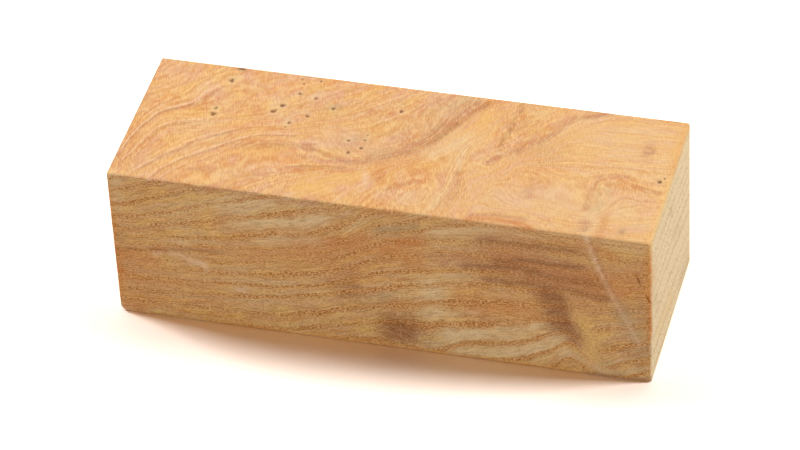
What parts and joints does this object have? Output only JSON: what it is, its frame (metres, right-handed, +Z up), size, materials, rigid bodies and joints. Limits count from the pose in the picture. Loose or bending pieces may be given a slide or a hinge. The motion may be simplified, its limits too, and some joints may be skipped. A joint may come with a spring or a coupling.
{
  "type": "stabilized burl wood block",
  "caption": "Rectangular block of resin-stabilized burl wood with eased edges, a blank to cut, shape or turn into handles and small fittings.",
  "frame": {"origin": "middle of the flat underside", "axes": "+Z up from the underside to the face with the burl eyes, +X along the length to the pale end, +Y from the front face to the back face"},
  "size_m": [0.12, 0.042, 0.039],
  "materials": {
    "burl_wood": "sanded, satin, resin-stabilized"
  },
  "bodies": {
    "root": {"block": "burl_wood"}
  },
  "joints": []
}
